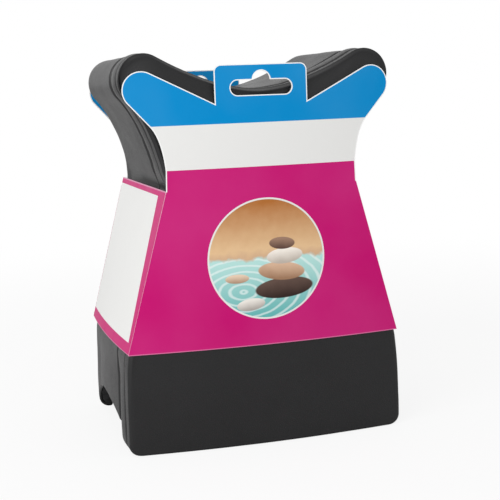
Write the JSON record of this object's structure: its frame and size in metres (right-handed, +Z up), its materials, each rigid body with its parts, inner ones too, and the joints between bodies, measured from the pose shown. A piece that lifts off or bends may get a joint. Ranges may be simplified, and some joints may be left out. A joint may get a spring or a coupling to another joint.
{
  "type": "padded footrest",
  "caption": "Small upholstered foot and leg rest: winged saddle top, narrow waist, arched underside, in a folded card sleeve with a hanging tab.",
  "frame": {"origin": "on the floor, midway between the sides and midway between the front and the back", "axes": "+Z up, -Y out of the front face that carries the picture, +X to the right as seen from the front"},
  "size_m": [0.1488, 0.1238, 0.2023],
  "materials": {
    "front_vinyl": "black leatherette, soft satin",
    "side_vinyl": "black leatherette with a grey sheen",
    "lining_cloth": "black non-woven lining",
    "foam": "grey open-cell foam",
    "thread": "black sewing thread",
    "printed_card": "coated card printed in flat colour bands",
    "plain_card": "white coated card"
  },
  "bodies": {
    "rest": {"front_cover": "front_vinyl", "front_band": "side_vinyl", "front_pad_foam": "foam", "wrap_cover": "side_vinyl", "back_cover": "front_vinyl", "base_lining": "lining_cloth", "foam_core": "foam", "front_seam_thread": "thread", "band_seam_thread": "thread", "back_seam_thread": "thread"},
    "sleeve_front": {"sleeve_front_sheet": "printed_card"},
    "sleeve_left": {"sleeve_left_side": "plain_card"},
    "sleeve_right": {"sleeve_right_side": "plain_card"},
    "sleeve_back": {"sleeve_back_sheet": "printed_card", "sleeve_left_lap": "plain_card", "sleeve_right_lap": "plain_card"}
  },
  "joints": [
    {"name": "sleeve_front_off", "type": "slide", "parent": "rest", "child": "sleeve_front", "axis": [0, -1, 0], "range_m": [0, 0.14]},
    {"name": "sleeve_left_fold", "type": "hinge", "parent": "sleeve_front", "child": "sleeve_left", "pos_m": [-0.07293, -0.05631, 0.0529], "axis": [0.2677, -0.031, 0.963], "range_deg": [0, 90]},
    {"name": "sleeve_right_fold", "type": "hinge", "parent": "sleeve_front", "child": "sleeve_right", "pos_m": [0.07293, -0.05631, 0.0529], "axis": [0.2677, 0.031, -0.963], "range_deg": [0, 90]},
    {"name": "sleeve_back_off", "type": "slide", "parent": "rest", "child": "sleeve_back", "axis": [0, 1, 0], "range_m": [0, 0.06]}
  ]
}
